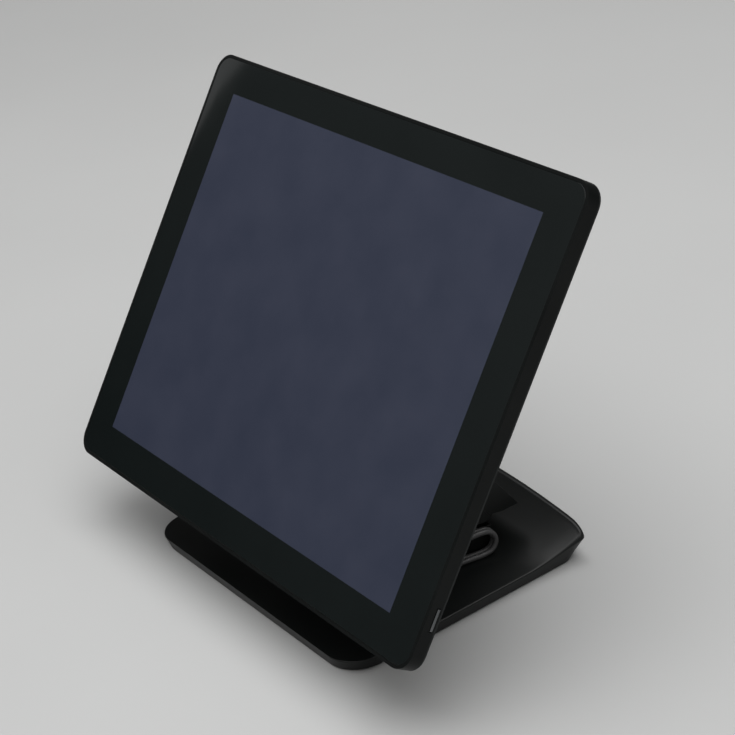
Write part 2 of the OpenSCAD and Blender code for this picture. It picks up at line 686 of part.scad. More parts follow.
base_shell();
base_pan();
ballast_plate();
rubber_feet();
base_screws();
hinge_housing();
left_base_bracket();
right_base_bracket();
bracket_screws();
hub_board();
usb_sockets();
dc_inlet();
neck_frame();
neck_front_cover();
neck_rear_cover();
neck_screws();
lower_rod();
upper_rod();
lower_nuts();
upper_nuts();
lower_washers();
upper_washers();
touch_glass();
glass_tape();
lcd_cell();
light_guide();
lcd_tray();
front_frame();
chassis_plate();
left_head_bracket();
right_head_bracket();
head_screws();
mainboard();
heatsink();
memory_module();
storage_drive();
power_board();
speakers();
rear_cover();
service_door();
cover_screws();
key_switch();
power_key();
cord_gland();
cord_lead();
cord_hank();
cord_tail();
cable_tie();
cord_plug();
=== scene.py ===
import math
import bmesh
import bpy
from mathutils import Matrix, Vector


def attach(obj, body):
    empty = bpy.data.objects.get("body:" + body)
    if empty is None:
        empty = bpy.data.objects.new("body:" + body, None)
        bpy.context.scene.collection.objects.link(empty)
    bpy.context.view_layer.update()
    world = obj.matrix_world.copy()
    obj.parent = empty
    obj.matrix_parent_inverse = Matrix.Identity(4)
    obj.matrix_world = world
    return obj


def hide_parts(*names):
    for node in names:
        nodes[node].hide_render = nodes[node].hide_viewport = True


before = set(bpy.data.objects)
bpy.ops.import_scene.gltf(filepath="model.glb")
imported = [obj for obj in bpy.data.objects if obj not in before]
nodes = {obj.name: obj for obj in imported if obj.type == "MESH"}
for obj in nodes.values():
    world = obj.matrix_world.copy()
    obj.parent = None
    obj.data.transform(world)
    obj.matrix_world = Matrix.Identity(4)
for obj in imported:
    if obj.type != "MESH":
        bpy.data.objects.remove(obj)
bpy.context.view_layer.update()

MM = 0.001


# ---------------------------------------------------------------- camera
# A long lens looks down on the terminal from its right-hand front corner, with
# the camera leaning a little on its axis.
shot_data = bpy.data.cameras.new("shot")
shot_data.sensor_width = 36
shot_data.lens = 99.1
shot_data.clip_start, shot_data.clip_end = 0.05, 30
shot = bpy.data.objects.new("shot", shot_data)
bpy.context.scene.collection.objects.link(shot)
shot.location = (0.92014, -0.55066, 0.67823)
look = Vector((-0.00004, 0.02400, 0.11797)) - shot.location
lean = Matrix.Rotation(math.radians(-8.616), 4, "Z").to_quaternion()
shot.rotation_mode = "QUATERNION"
shot.rotation_quaternion = look.to_track_quat("-Z", "Y") @ lean
bpy.context.scene.camera = shot


# ---------------------------------------------------------------- lead
# Thin round power lead in soft black PVC. It leaves the hinge housing, is wound
# into a hank of upright loops on the plate, three short and two long, and ends in
# a barrel plug that lies on the plate.
LEAD_D = 3.4 * MM
GLAND = Vector((28, 27, 16.5)) * MM
HANK_TURN = math.radians(-10)
HANK_BEND = 7.5                     # millimetres, as are the next four
LYING_Z = 10.35                     # the lead's middle where it lies on the plate
FRONT_BEND_Y = -72.8
TURN_STEP = 3.4
TIE_Y = -45


def on_hank(x, y, z):
    """A point of the hank, given in millimetres from its rear end."""
    c, s = math.cos(HANK_TURN), math.sin(HANK_TURN)
    return Vector((76.5 + c * x - s * y, 49 + s * x + c * y, z)) * MM


def lead_points():
    """Out of the housing, five times round the hank, and across to the plug."""
    out = [Vector(p) * MM for p in (
        (28, 19, 16.5), (28, 14.5, 16.5), (28, 10.7, 16.5), (28, 7.4, 16.3), (28.6, 4.2, 15.2),
        (31, 1.8, 13.5), (35, 0.9, 11.7), (39.5, 1.2, 10.5), (43.5, 1.5, LYING_Z), (47.9, 1.2, LYING_Z),
        (51.6, -0.5, LYING_Z))]
    out += [on_hank(-12.97, -56, LYING_Z), on_hank(-11.9, -60, LYING_Z)]
    bend_z = LYING_Z + HANK_BEND
    for x, rear in ((-11.9, -37.2), (-8.5, -37.2), (-5.1, -37.2), (-1.7, -9.2), (1.7, -9.2)):
        for i in range(7):                       # up round the front end
            a = math.radians(30 * i)
            out.append(on_hank(x, FRONT_BEND_Y - HANK_BEND * math.sin(a), bend_z - HANK_BEND * math.cos(a)))
        for t in (0.25, 0.5, 0.75):              # back along the top, a little slack
            out.append(on_hank(x, FRONT_BEND_Y + (rear - FRONT_BEND_Y) * t,
                               bend_z + HANK_BEND - 1.2 * math.sin(math.pi * t)))
        for i in range(7):                       # down round the rear end
            a = math.radians(30 * i)
            out.append(on_hank(x, rear + HANK_BEND * math.sin(a), bend_z + HANK_BEND * math.cos(a)))
        if rear > -20:
            out += [on_hank(x, -20, LYING_Z), on_hank(x, -31, LYING_Z)]
        for y, part in ((-40, 0.1), (-44, 0.36), (-48, 0.64), (-52, 0.9), (-57, 1.0)):
            lift = 0.9 * math.exp(-((y - TIE_Y) / 6) ** 2)
            out.append(on_hank(x + TURN_STEP * part, y, LYING_Z + lift))
    out += [Vector(p) * MM for p in (
        (69.9, -17.9, LYING_Z), (68.2, -27.7, LYING_Z), (66.4, -31.5, LYING_Z), (63, -33.9, LYING_Z),
        (58.9, -34.2, LYING_Z), (52.9, -33.2, LYING_Z), (48, -32.3, 11), (44, -31.6, 12.1),
        (40.1, -30.9, 13.1), (38.8, -30.65, 13.2))]
    return out


def wire(name, points, radius, rings=6):
    """A round cord through the points, as one open curve."""
    line = bpy.data.curves.new(name, "CURVE")
    line.dimensions = "3D"
    line.bevel_depth = 1
    line.bevel_resolution = rings
    line.resolution_u = 6
    line.use_fill_caps = True
    run = line.splines.new("BEZIER")
    run.bezier_points.add(len(points) - 1)
    for point, place in zip(run.bezier_points, points):
        point.co, point.radius = place, radius
        point.handle_left_type = point.handle_right_type = "AUTO"
    obj = bpy.data.objects.new(name, line)
    bpy.context.scene.collection.objects.link(obj)
    return obj


def blank_finish(name):
    """An empty shader, with the surface's own coordinates to hang grain on."""
    mat = bpy.data.materials.new(name)
    mat.use_nodes = True
    tree = mat.node_tree
    shader = tree.nodes["Principled BSDF"]
    place = tree.nodes.new("ShaderNodeTexCoord").outputs["Object"]
    return mat, tree, shader, place


def grain_of(tree, place, size, detail=4.0, stretch=(1, 1, 1), turn=(0, 0, 0)):
    """Noise whose marks are about size metres across, longer along a stretched axis."""
    lay = tree.nodes.new("ShaderNodeMapping")
    lay.vector_type = "TEXTURE"
    lay.inputs["Rotation"].default_value = turn
    lay.inputs["Scale"].default_value = stretch
    tree.links.new(place, lay.inputs["Vector"])
    marks = tree.nodes.new("ShaderNodeTexNoise")
    marks.inputs["Scale"].default_value = 1 / size
    marks.inputs["Detail"].default_value = detail
    tree.links.new(lay.outputs["Vector"], marks.inputs["Vector"])
    return marks.outputs["Fac"]


def between(tree, value, low, high, start=0.3, end=0.7):
    """Carries a texture value from low to high."""
    span = tree.nodes.new("ShaderNodeMapRange")
    for socket, number in zip(("From Min", "From Max", "To Min", "To Max"), (start, end, low, high)):
        span.inputs[socket].default_value = number
    tree.links.new(value, span.inputs["Value"])
    return span.outputs["Result"]


def two_tone(tree, value, first, second, start=0.35, end=0.65):
    ramp = tree.nodes.new("ShaderNodeValToRGB")
    ramp.color_ramp.elements[0].position, ramp.color_ramp.elements[1].position = start, end
    ramp.color_ramp.elements[0].color = (*first, 1)
    ramp.color_ramp.elements[1].color = (*second, 1)
    tree.links.new(value, ramp.inputs["Fac"])
    return ramp.outputs["Color"]


def relief(tree, shader, value, depth, strength=1.0):
    """Raises the surface by depth metres where the value is high."""
    bump = tree.nodes.new("ShaderNodeBump")
    bump.inputs["Distance"].default_value = depth
    bump.inputs["Strength"].default_value = strength
    tree.links.new(value, bump.inputs["Height"])
    tree.links.new(bump.outputs["Normal"], shader.inputs["Normal"])


def give(finish, *objs):
    for obj in objs:
        obj.data.materials.clear()
        obj.data.materials.append(finish)


pvc, tree, shader, place = blank_finish("lead_pvc")
tree.links.new(two_tone(tree, grain_of(tree, place, 0.02), (0.045, 0.045, 0.046), (0.07, 0.07, 0.071)),
               shader.inputs["Base Color"])
tree.links.new(between(tree, grain_of(tree, place, 0.003), 0.38, 0.52), shader.inputs["Roughness"])
relief(tree, shader, grain_of(tree, place, 0.0006), 0.00005)
lead = wire("power_lead", lead_points(), LEAD_D / 2)
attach(lead, "base")
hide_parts("cord_lead", "cord_hank", "cord_tail")
give(pvc, lead)


# ---------------------------------------------------------------- strain relief
# Tapered PVC sleeve moulded onto the lead. Its flange sits against the housing
# and cross slots down its length let it bend.
def spun(name, profile, place, direction, steps=40):
    """A turned piece: the profile's radius at each length, about a line."""
    bm = bmesh.new()
    angles = [math.tau * i / steps for i in range(steps)]
    to_line = Vector(direction).to_track_quat("Z", "Y").to_matrix().to_4x4()
    rows = []
    for radius, length in profile:
        rows.append([bm.verts.new((radius * math.cos(a), radius * math.sin(a), length)) for a in angles])
    for low, high in zip(rows, rows[1:]):
        for i in range(steps):
            j = (i + 1) % steps
            bm.faces.new((low[i], low[j], high[j], high[i]))
    bm.faces.new(rows[0][::-1])
    bm.faces.new(rows[-1])
    mesh = bpy.data.meshes.new(name)
    bm.transform(Matrix.Translation(place) @ to_line)
    bmesh.ops.recalc_face_normals(bm, faces=bm.faces)
    bm.to_mesh(mesh)
    bm.free()
    obj = bpy.data.objects.new(name, mesh)
    bpy.context.scene.collection.objects.link(obj)
    return obj


def soft_edges(obj, width, angle=30, segments=3, weld=False):
    """Rounds the sharp edges a little and shades the rest smooth."""
    obj.data.polygons.foreach_set("use_smooth", [True] * len(obj.data.polygons))
    if weld:
        obj.modifiers.new("join", "WELD").merge_threshold = 0.00001
    if width:
        round_off = obj.modifiers.new("round_off", "BEVEL")
        round_off.width = width
        round_off.segments = segments
        round_off.limit_method = "ANGLE"
        round_off.angle_limit = math.radians(angle)
        round_off.harden_normals = True
        round_off.use_clamp_overlap = True
    level = obj.modifiers.new("level_faces", "WEIGHTED_NORMAL")
    level.mode = "FACE_AREA"
    level.weight = 100
    return obj


sleeve_profile = [(5.2, 0), (5.5, 0.3), (5.5, 2.7), (5.2, 3.0), (4.05, 3.05)]
for i in range(5):
    at, r = 3.6 + i * 2.5, 4.0 - i * 0.17
    sleeve_profile += [(r, at), (r - 0.05, at + 1.4), (r - 0.75, at + 1.55), (r - 0.8, at + 2.3)]
sleeve_profile += [(3.05, 16.0), (2.75, 16.3), (1.8, 16.3)]
sleeve = spun("lead_sleeve", [(r * MM, z * MM) for r, z in sleeve_profile], GLAND, (0, -1, 0))
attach(sleeve, "base")
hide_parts("cord_gland")
soft_edges(sleeve, 0.0001, 40, 2)
give(pvc, sleeve)


# ---------------------------------------------------------------- plug
# Straight barrel plug, moulded over the lead's end, with finger ribs and a plated
# sleeve that steps in at its tip.
nickel, tree, shader, place = blank_finish("nickel")
shader.inputs["Metallic"].default_value = 1
tree.links.new(two_tone(tree, grain_of(tree, place, 0.01), (0.52, 0.51, 0.49), (0.62, 0.61, 0.59)),
               shader.inputs["Base Color"])
tree.links.new(between(tree, grain_of(tree, place, 0.002), 0.2, 0.34), shader.inputs["Roughness"])
PLUG = on_hank(-22.7, -85, 13.2)
PLUG_WAY = on_hank(-23.7, -85, 13.2) - PLUG
grip_profile = [(1.9, -1.0), (2.6, -0.6), (3.1, 0.6), (4.3, 3.6), (4.6, 4.6)]
for i in range(5):
    at = 5.4 + i * 1.7
    grip_profile += [(4.6, at), (4.2, at + 0.15), (4.2, at + 0.75), (4.6, at + 0.9)]
grip_profile += [(4.6, 15.4), (4.3, 16.0), (2.9, 16.0)]
grip = spun("plug_grip", [(r * MM, z * MM) for r, z in grip_profile], PLUG, PLUG_WAY)
barrel = spun("plug_barrel", [(r * MM, z * MM) for r, z in (
    (2.75, 15.9), (2.75, 23.0), (2.5, 23.2), (2.5, 23.6), (2.2, 23.9), (1.3, 23.9), (1.25, 18), (0.6, 18))],
    PLUG, PLUG_WAY)
for piece, stuff, which in ((grip, pvc, "lead_jacket"), (barrel, nickel, "socket_metal")):
    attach(piece, "base")
    soft_edges(piece, 0.0001, 40, 2)
    give(stuff, piece)
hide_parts("cord_plug")


# ---------------------------------------------------------------- cable tie
# Black nylon strap pulled round the middle of the hank and held by the square
# ratchet head at its side.
def strap(name, outline, width, put):
    """A flat band that follows a closed outline of (outer, inner) points."""
    bm = bmesh.new()
    loops = []
    for side in (-0.5, 0.5):
        for points in outline:
            loops.append([bm.verts.new(put(x, side * width, z)) for x, z in points])
    count = len(outline[0])
    for i in range(count):
        j = (i + 1) % count
        for a, b in ((0, 1), (1, 3), (3, 2), (2, 0)):
            bm.faces.new((loops[a][i], loops[a][j], loops[b][j], loops[b][i]))
    bmesh.ops.recalc_face_normals(bm, faces=bm.faces)
    mesh = bpy.data.meshes.new(name)
    bm.to_mesh(mesh)
    bm.free()
    obj = bpy.data.objects.new(name, mesh)
    bpy.context.scene.collection.objects.link(obj)
    return obj


def round_box(width, height, radius, steps=8):
    out = []
    for cx, cy, start in ((1, 1, 0), (-1, 1, 90), (-1, -1, 180), (1, -1, 270)):
        for i in range(steps + 1):
            a = math.radians(start + 90 * i / steps)
            out.append((cx * (width / 2 - radius) + radius * math.cos(a),
                        cy * (height / 2 - radius) + radius * math.sin(a)))
    return out


nylon, tree, shader, place = blank_finish("black_nylon")
tree.links.new(two_tone(tree, grain_of(tree, place, 0.004), (0.012, 0.012, 0.012), (0.02, 0.02, 0.021)),
               shader.inputs["Base Color"])
tree.links.new(between(tree, grain_of(tree, place, 0.001), 0.3, 0.45), shader.inputs["Roughness"])
relief(tree, shader, grain_of(tree, place, 0.0005, stretch=(1, 1, 4)), 0.00004)
tie_mid = Vector((-5.1, 17.6))


def at_tie(x, y, z):
    return on_hank(x, TIE_Y + y, z)


tie_rings = [[(tie_mid.x + x, tie_mid.y + z) for x, z in round_box(w, h, r)] for w, h, r in
             ((19.6, 17.8, 3.2), (17.4, 15.9, 2.2))]
tie = strap("cable_tie_strap", tie_rings, 4, at_tie)
tie_head = strap("cable_tie_head", [[(-14.4 + x, 21 + z) for x, z in round_box(4.6, 6.2, 0.8, 3)],
                                    [(-14.4 + x, 21 + z) for x, z in round_box(1.2, 3.6, 0.3, 3)]],
                 5.6, at_tie)
for piece in (tie, tie_head):
    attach(piece, "base")
    soft_edges(piece, 0.00015, 40, 2)
    give(nylon, piece)
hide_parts("cable_tie")
tuple(lead_points()[0])


# ---------------------------------------------------------------- base shell
# One moulding in satin black ABS: a thin plate whose rear edge sweeps up into a
# ridge over the sockets. Its top edges are softened and its ends flare outwards.
BASE_FRONT, RAMP_FOOT, BACK_FOOT = -87, 46, 84.6
PLATE_H, LIFT, RIDGE_H = 8.6, 1, 27.7
FRONT_R, TAIL_R, TAIL_FOOT_R, CREST_R = 21, 5, 11, 3.2
SIDE_LEAN, BACK_LEAN, PLATE_LEAN = 0.33, 0.395, 0.25


def crest_z(u):
    x = abs(u) * 111
    return RIDGE_H - 6.3e-4 * x * x - 3.1 * (max(0, x - 98) / 13) ** 2


def crest_y(u):
    return BACK_FOOT + BACK_LEAN * (crest_z(u) - CREST_R)


def top_path(u):
    """The upper side from front to back at u across, as (y, z)."""
    cy, cz = crest_y(u) - CREST_R, crest_z(u) - CREST_R
    ry, rz = cy + CREST_R * math.cos(math.radians(128)), cz + CREST_R * math.sin(math.radians(128))
    out = [(BASE_FRONT + FRONT_R * (1 - math.cos(math.radians(i * 7.5))), PLATE_H) for i in range(13)]
    out += [(y, PLATE_H) for y in (-50, -30, -10, 10, 25, 38)]
    out += [(RAMP_FOOT + (ry - RAMP_FOOT) * q, PLATE_H + (rz - PLATE_H) * q ** 1.6)
            for q in [(i / 24) ** 0.8 for i in range(25)]]
    out += [(cy + CREST_R * math.cos(math.radians(a)), cz + CREST_R * math.sin(math.radians(a)))
            for a in [120 - 10 * i for i in range(13)]]
    return out


def corner_in(y, end, radius):
    gap = min(radius, max(0, radius - abs(end - y)))
    return radius - math.sqrt(max(0, radius * radius - gap * gap))


def half_width(y, z, front, back, width, radius):
    return width + SIDE_LEAN * max(0, z - PLATE_H) - corner_in(y, front, FRONT_R) - corner_in(y, back, radius)


def edge_round(d, z):
    """How far the top falls at d from its side edge: crisp on the plate, softer on the crest."""
    r = 0.9 + 4.6 * min(1, max(0, z - PLATE_H) / 15) ** 1.5
    return r - math.sqrt(max(0, r * r - (r - min(d, r)) ** 2))


def base_skin():
    from_edge = [7.5, 5.8, 4.4, 3.2, 2.2, 1.4, 0.8, 0.4, 0.12, 0]
    right = [i / 15 * 0.91 for i in range(1, 16)] + [1 - d / 111 for d in from_edge]
    across = [-u for u in reversed(right)] + [0] + right
    edge, back = top_path(1), crest_y(1)
    under = PLATE_LEAN * (PLATE_H - LIFT)
    low_y = [BASE_FRONT + under + (y - BASE_FRONT) * (BACK_FOOT - BASE_FRONT - under) / (back - BASE_FRONT)
             for y, z in edge]
    bm = bmesh.new()
    top, low = [], []
    for u in across:
        path = top_path(u)
        widths = [half_width(y, z, BASE_FRONT, back, 110, TAIL_R) for y, z in edge]
        top.append([bm.verts.new(Vector((u * widths[j], path[j][0], path[j][1]
                                         - edge_round(widths[j] * (1 - abs(u)), path[j][1]))) * MM)
                    for j in range(len(edge))])
        low.append([bm.verts.new(Vector((u * half_width(y, 0, BASE_FRONT + under, BACK_FOOT, 110 - under,
                                                        TAIL_FOOT_R), y, LIFT)) * MM)
                    for y in low_y])
    m, n = len(across), len(edge)
    for i in range(m - 1):
        for j in range(n - 1):
            bm.faces.new((top[i][j], top[i + 1][j], top[i + 1][j + 1], top[i][j + 1]))
            bm.faces.new((low[i][j], low[i][j + 1], low[i + 1][j + 1], low[i + 1][j]))
        bm.faces.new((top[i][0], low[i][0], low[i + 1][0], top[i + 1][0]))
        bm.faces.new((top[i][-1], top[i + 1][-1], low[i + 1][-1], low[i][-1]))
    for j in range(n - 1):
        bm.faces.new((top[0][j], top[0][j + 1], low[0][j + 1], low[0][j]))
        bm.faces.new((top[-1][j], low[-1][j], low[-1][j + 1], top[-1][j + 1]))
    bmesh.ops.remove_doubles(bm, verts=bm.verts, dist=1e-6)
    bmesh.ops.dissolve_degenerate(bm, edges=bm.edges, dist=1e-6)
    bmesh.ops.recalc_face_normals(bm, faces=bm.faces)
    return bm


def made(name, bm):
    mesh = bpy.data.meshes.new(name)
    bm.to_mesh(mesh)
    bm.free()
    obj = bpy.data.objects.new(name, mesh)
    bpy.context.scene.collection.objects.link(obj)
    return obj


def prism(name, outline, low, high, axis):
    """A solid from an outline in millimetres, run from low to high along X or Z."""
    bm = bmesh.new()
    put = (lambda p, t: (t, p[0], p[1])) if axis == "X" else (lambda p, t: (p[0], p[1], t))
    ends = [[bm.verts.new(Vector(put(p, t)) * MM) for p in outline] for t in (low, high)]
    for i in range(len(outline)):
        j = (i + 1) % len(outline)
        bm.faces.new((ends[0][i], ends[0][j], ends[1][j], ends[1][i]))
    bm.faces.new(ends[0][::-1])
    bm.faces.new(ends[1])
    bmesh.ops.recalc_face_normals(bm, faces=bm.faces)
    return made(name, bm)


def cut_out(obj, cutters):
    """Cuts the shapes from the piece for good, and throws them away."""
    for i, cutter in enumerate(cutters):
        cut = obj.modifiers.new("cut_%d" % i, "BOOLEAN")
        cut.operation, cut.solver, cut.object = "DIFFERENCE", "EXACT", cutter
    result = bpy.data.meshes.new_from_object(obj.evaluated_get(bpy.context.evaluated_depsgraph_get()))
    obj.modifiers.clear()
    obj.data = result
    for cutter in cutters:
        bpy.data.objects.remove(cutter)


abs_black, tree, shader, place = blank_finish("abs_black")
tone = two_tone(tree, grain_of(tree, place, 0.09), (0.0030, 0.0038, 0.0036), (0.0046, 0.0055, 0.0053))
tree.links.new(tone, shader.inputs["Base Color"])
tree.links.new(between(tree, grain_of(tree, place, 0.03), 0.36, 0.42), shader.inputs["Roughness"])
relief(tree, shader, grain_of(tree, place, 0.0007, 3), 0.00003, 0.6)
shader.inputs["Specular IOR Level"].default_value = 0.3

shell = made("base_moulding", base_skin())
soft_edges(shell, 0.0006, 42, 3)
hollow = [prism("plate_hollow", [(x, y - 0.5) for x, y in round_box(210.5, 164.5, 18)], 0.2, 6.6, "Z"),
          prism("ridge_hollow", [(50, 5), (56, 7.6), (66, 10.3), (76, 14.2), (84, 17.4), (88, 17.2),
                                 (83.2, 5)], -88, 88, "X"),
          prism("socket_hollow", [(50, 5), (56, 8.1), (66, 11.6), (76, 16.3), (84, 20.8), (88.5, 20.8),
                                  (83.2, 5)], -40, 40, "X"),
          prism("socket_window", [(79, 5), (105, 5), (105, 16), (79, 16)], -38, 38, "X")]
for side in (-1, 1):
    slot = [(side * 48 + x, 39.5 + y) for x, y in round_box(30, 20, 1, 2)]
    hollow.append(prism("hinge_slot", slot, 5, 9.8, "Z"))
cut_out(shell, hollow)
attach(shell, "base")
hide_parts("base_shell")
give(abs_black, shell)


# ---------------------------------------------------------------- pan, weight and feet
# A pressed zinc-plated pan closes the base, with a blackened steel weight on it
# and four rubber discs pushed into it from below.
def plated_steel(name, low, high, rough, along):
    """Sheet metal with the faint lines of rolling and a cloudy plating."""
    finish, tree, shader, place = blank_finish(name)
    shader.inputs["Metallic"].default_value = 1
    tree.links.new(two_tone(tree, grain_of(tree, place, 0.012, 6), low, high), shader.inputs["Base Color"])
    tree.links.new(between(tree, grain_of(tree, place, 0.0012, 4, along), rough, rough + 0.16),
                   shader.inputs["Roughness"])
    relief(tree, shader, grain_of(tree, place, 0.0006, 3, along), 0.00003)
    return finish


zinc = plated_steel("zinc_plate", (0.46, 0.47, 0.48), (0.6, 0.61, 0.62), 0.3, (12, 1, 1))
black_steel = plated_steel("blackened_steel", (0.05, 0.05, 0.053), (0.1, 0.1, 0.105), 0.45, (1, 6, 1))
rubber, tree, shader, place = blank_finish("foot_rubber")
tree.links.new(two_tone(tree, grain_of(tree, place, 0.006), (0.012, 0.012, 0.012), (0.022, 0.022, 0.022)),
               shader.inputs["Base Color"])
tree.links.new(between(tree, grain_of(tree, place, 0.002), 0.75, 0.9), shader.inputs["Roughness"])
relief(tree, shader, grain_of(tree, place, 0.0008), 0.0001)
for name, stuff, edge in (("base_pan", zinc, 0.0003), ("ballast_plate", black_steel, 0.0004),
                          ("rubber_feet", rubber, 0.00012)):
    give(stuff, soft_edges(nodes[name], edge, 40, 2, True))


# ---------------------------------------------------------------- hinge steelwork
# Both hinges are 8 mm steel rods in the neck frame's barrels. They turn in the
# ears of pressed brackets, between bronze friction discs held by nuts.
ground_steel = plated_steel("ground_steel", (0.55, 0.55, 0.56), (0.66, 0.66, 0.67), 0.16, (0.4, 5, 5))
bronze = plated_steel("friction_bronze", (0.4, 0.27, 0.12), (0.55, 0.38, 0.19), 0.32, (1, 1, 1))
dark_screw = plated_steel("screw_steel", (0.26, 0.26, 0.27), (0.4, 0.4, 0.41), 0.28, (1, 1, 1))
for name in ("left_base_bracket", "right_base_bracket", "left_head_bracket", "right_head_bracket",
             "neck_frame"):
    give(zinc, soft_edges(nodes[name], 0.0003, 40, 2, True))
for name in ("lower_rod", "upper_rod"):
    give(ground_steel, soft_edges(nodes[name], 0.0005, 40, 2, True))
for name in ("lower_washers", "upper_washers"):
    give(bronze, soft_edges(nodes[name], 0.00008, 40, 2, True))
for name in ("lower_nuts", "upper_nuts", "base_screws", "bracket_screws", "neck_screws", "head_screws",
             "cover_screws"):
    give(dark_screw, soft_edges(nodes[name], 0.00015, 40, 2, True))


# ---------------------------------------------------------------- neck and hinge housing
# Two satin black mouldings clip round the neck frame, front and rear. The rear one
# has a hood that drops behind the lower hinge; a third hides the brackets' feet.
satin_black, tree, shader, place = blank_finish("satin_black")
tree.links.new(two_tone(tree, grain_of(tree, place, 0.06), (0.0026, 0.0034, 0.0032), (0.0040, 0.0048, 0.0046)),
               shader.inputs["Base Color"])
tree.links.new(between(tree, grain_of(tree, place, 0.02), 0.34, 0.42), shader.inputs["Roughness"])
relief(tree, shader, grain_of(tree, place, 0.0006, 3), 0.00003, 0.6)
shader.inputs["Specular IOR Level"].default_value = 0.2
for name in ("neck_front_cover", "neck_rear_cover", "hinge_housing"):
    give(satin_black, soft_edges(nodes[name], 0.0004, 28, 3, True))


# ---------------------------------------------------------------- rear sockets
# A small board in the ridge carries two stacked data sockets in plated shells and
# a round power inlet with a centre contact.
solder_mask, tree, shader, place = blank_finish("solder_mask")
tracks = tree.nodes.new("ShaderNodeTexBrick")
tracks.inputs["Scale"].default_value = 190
tracks.inputs["Mortar Size"].default_value = 0.045
tracks.inputs["Color1"].default_value = (0.012, 0.075, 0.03, 1)
tracks.inputs["Color2"].default_value = (0.016, 0.095, 0.038, 1)
tracks.inputs["Mortar"].default_value = (0.03, 0.16, 0.06, 1)
tree.links.new(place, tracks.inputs["Vector"])
tree.links.new(tracks.outputs["Color"], shader.inputs["Base Color"])
tree.links.new(between(tree, grain_of(tree, place, 0.01), 0.25, 0.4), shader.inputs["Roughness"])
relief(tree, shader, tracks.outputs["Fac"], 0.00003)
tin = plated_steel("tin_plate", (0.5, 0.5, 0.5), (0.64, 0.64, 0.63), 0.24, (4, 1, 1))
black_abs_small, tree, shader, place = blank_finish("socket_plastic")
tree.links.new(two_tone(tree, grain_of(tree, place, 0.01), (0.013, 0.013, 0.013), (0.021, 0.021, 0.022)),
               shader.inputs["Base Color"])
tree.links.new(between(tree, grain_of(tree, place, 0.003), 0.4, 0.55), shader.inputs["Roughness"])
relief(tree, shader, grain_of(tree, place, 0.0005), 0.00003)
give(solder_mask, soft_edges(nodes["hub_board"], 0, 40, 2, True))
give(tin, soft_edges(nodes["usb_sockets"], 0.00008, 40, 2, True))
give(black_abs_small, soft_edges(nodes["dc_inlet"], 0.0002, 40, 2, True))
pin = spun("inlet_contact", [(r * MM, z * MM) for r, z in ((1.0, 0), (1.0, 6.4), (0.85, 6.9), (0.5, 7.1))],
           Vector((24, 75, 10.9)) * MM, (0, 1, 0), 24)
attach(pin, "base")
give(nickel, soft_edges(pin, 0.00005, 40, 2))


# ---------------------------------------------------------------- touch glass
# Flat chemically hardened glass with a black printed border. The panel behind it
# shows as a cold dark grey-blue, bounded by a hair-line of the print's edge.
TILT = math.radians(35)
HEAD = Vector((0, -15.387, 158.086)) * MM


def on_head(u, v, w):
    """A point of the head: across its face, up it and out of it, in millimetres."""
    y = v * math.sin(TILT) - w * math.cos(TILT)
    z = v * math.cos(TILT) + w * math.sin(TILT)
    return HEAD + Vector((u, y, z)) * MM


def face_coordinates(tree, place):
    """Turns the surface's coordinates to run across, up and out of the face."""
    lay = tree.nodes.new("ShaderNodeMapping")
    lay.vector_type = "TEXTURE"
    lay.inputs["Location"].default_value = HEAD
    lay.inputs["Rotation"].default_value = (math.pi / 2 - TILT, 0, 0)
    tree.links.new(place, lay.inputs["Vector"])
    return lay.outputs["Vector"]


def inside(tree, place, half_u, half_v, up, soft):
    """One inside a centred window on the face and nothing outside."""
    parts = tree.nodes.new("ShaderNodeSeparateXYZ")
    tree.links.new(place, parts.inputs["Vector"])
    sides = []
    for axis, half, shift in (("X", half_u, 0), ("Y", half_v, up)):
        off = tree.nodes.new("ShaderNodeMath")
        off.operation = "SUBTRACT"
        off.inputs[1].default_value = shift
        tree.links.new(parts.outputs[axis], off.inputs[0])
        size = tree.nodes.new("ShaderNodeMath")
        size.operation = "ABSOLUTE"
        tree.links.new(off.outputs[0], size.inputs[0])
        sides.append(between(tree, size.outputs[0], 1, 0, half - soft, half + soft))
    both = tree.nodes.new("ShaderNodeMath")
    both.operation = "MULTIPLY"
    for i in (0, 1):
        tree.links.new(sides[i], both.inputs[i])
    return both.outputs[0]


glass, tree, shader, place = blank_finish("printed_glass")
face = face_coordinates(tree, place)
window = inside(tree, face, 0.15205, 0.11405, 0.0007, 0.00012)
border = two_tone(tree, grain_of(tree, place, 0.08), (0.0060, 0.0082, 0.0082), (0.0072, 0.0096, 0.0096))
clouds = two_tone(tree, grain_of(tree, face, 0.035, 5), (0.033, 0.039, 0.063), (0.041, 0.047, 0.073), 0.3, 0.7)
mix = tree.nodes.new("ShaderNodeMix")
mix.data_type = "RGBA"
tree.links.new(window, mix.inputs[0])
tree.links.new(border, mix.inputs[6])
tree.links.new(clouds, mix.inputs[7])
tree.links.new(mix.outputs[2], shader.inputs["Base Color"])
tree.links.new(between(tree, grain_of(tree, place, 0.05), 0.045, 0.065), shader.inputs["Roughness"])
shader.inputs["Specular IOR Level"].default_value = 0.3
give(glass, soft_edges(nodes["touch_glass"], 0.0005, 40, 3, True))


